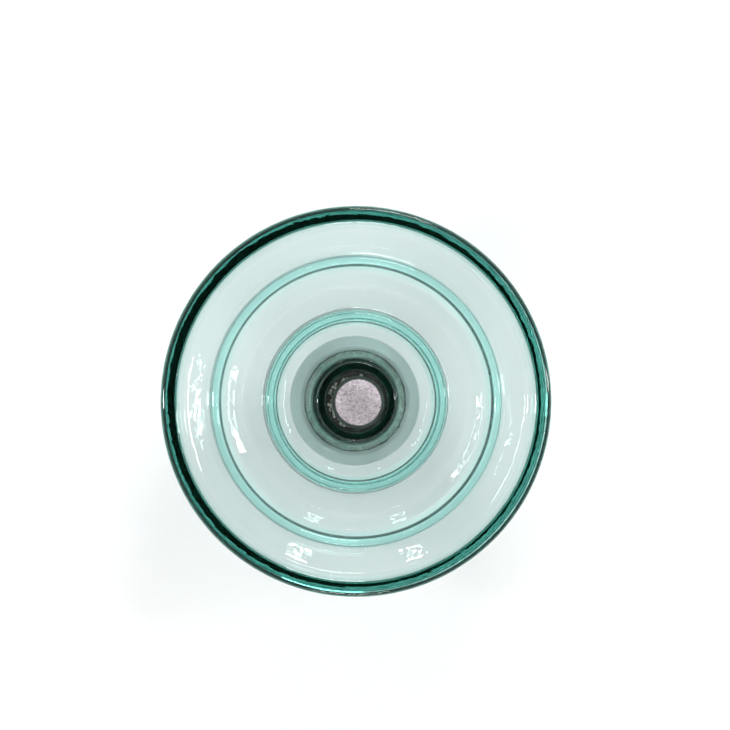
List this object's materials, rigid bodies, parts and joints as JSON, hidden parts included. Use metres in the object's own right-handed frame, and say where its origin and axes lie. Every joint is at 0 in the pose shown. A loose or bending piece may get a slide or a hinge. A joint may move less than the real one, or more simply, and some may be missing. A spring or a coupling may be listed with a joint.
{
  "type": "cap and pin suspension insulator",
  "caption": "Toughened glass disc with ribs underneath, a metal cap with a ball socket on one side and a ball-ended pin on the other, for hanging overhead conductors.",
  "frame": {"origin": "centre of the cap's socket end face, on the insulator's axis", "axes": "+Z along the axis from the cap to the ball, so the unit stands on its cap; -Y is the side the next ball enters from, +Y the locking pin's eye. In service the cap is uppermost."},
  "size_m": [0.255, 0.255, 0.1694],
  "materials": {
    "cap_iron": "hot-dip galvanised, dull spangle",
    "toughened_glass": "clear, pale green",
    "cap_cement_paste": "rough cement",
    "pin_cement_paste": "rough cement with crumbs",
    "head_cork": "pressed cork",
    "pin_cork": "pressed cork",
    "pin_steel": "hot-dip galvanised, grainy",
    "locking_steel": "bright stainless"
  },
  "bodies": {
    "insulator": {"cap": "cap_iron", "glass_shell": "toughened_glass", "cap_cement": "cap_cement_paste", "pin_cement": "pin_cement_paste", "head_cushion": "head_cork", "pin_cushion": "pin_cork", "ball_pin": "pin_steel"},
    "locking_pin": {"locking_pin": "locking_steel"}
  },
  "joints": [
    {"name": "locking_pin_slide", "type": "slide", "parent": "insulator", "child": "locking_pin", "axis": [0, 1, 0], "range_m": [0, 0.024]}
  ]
}
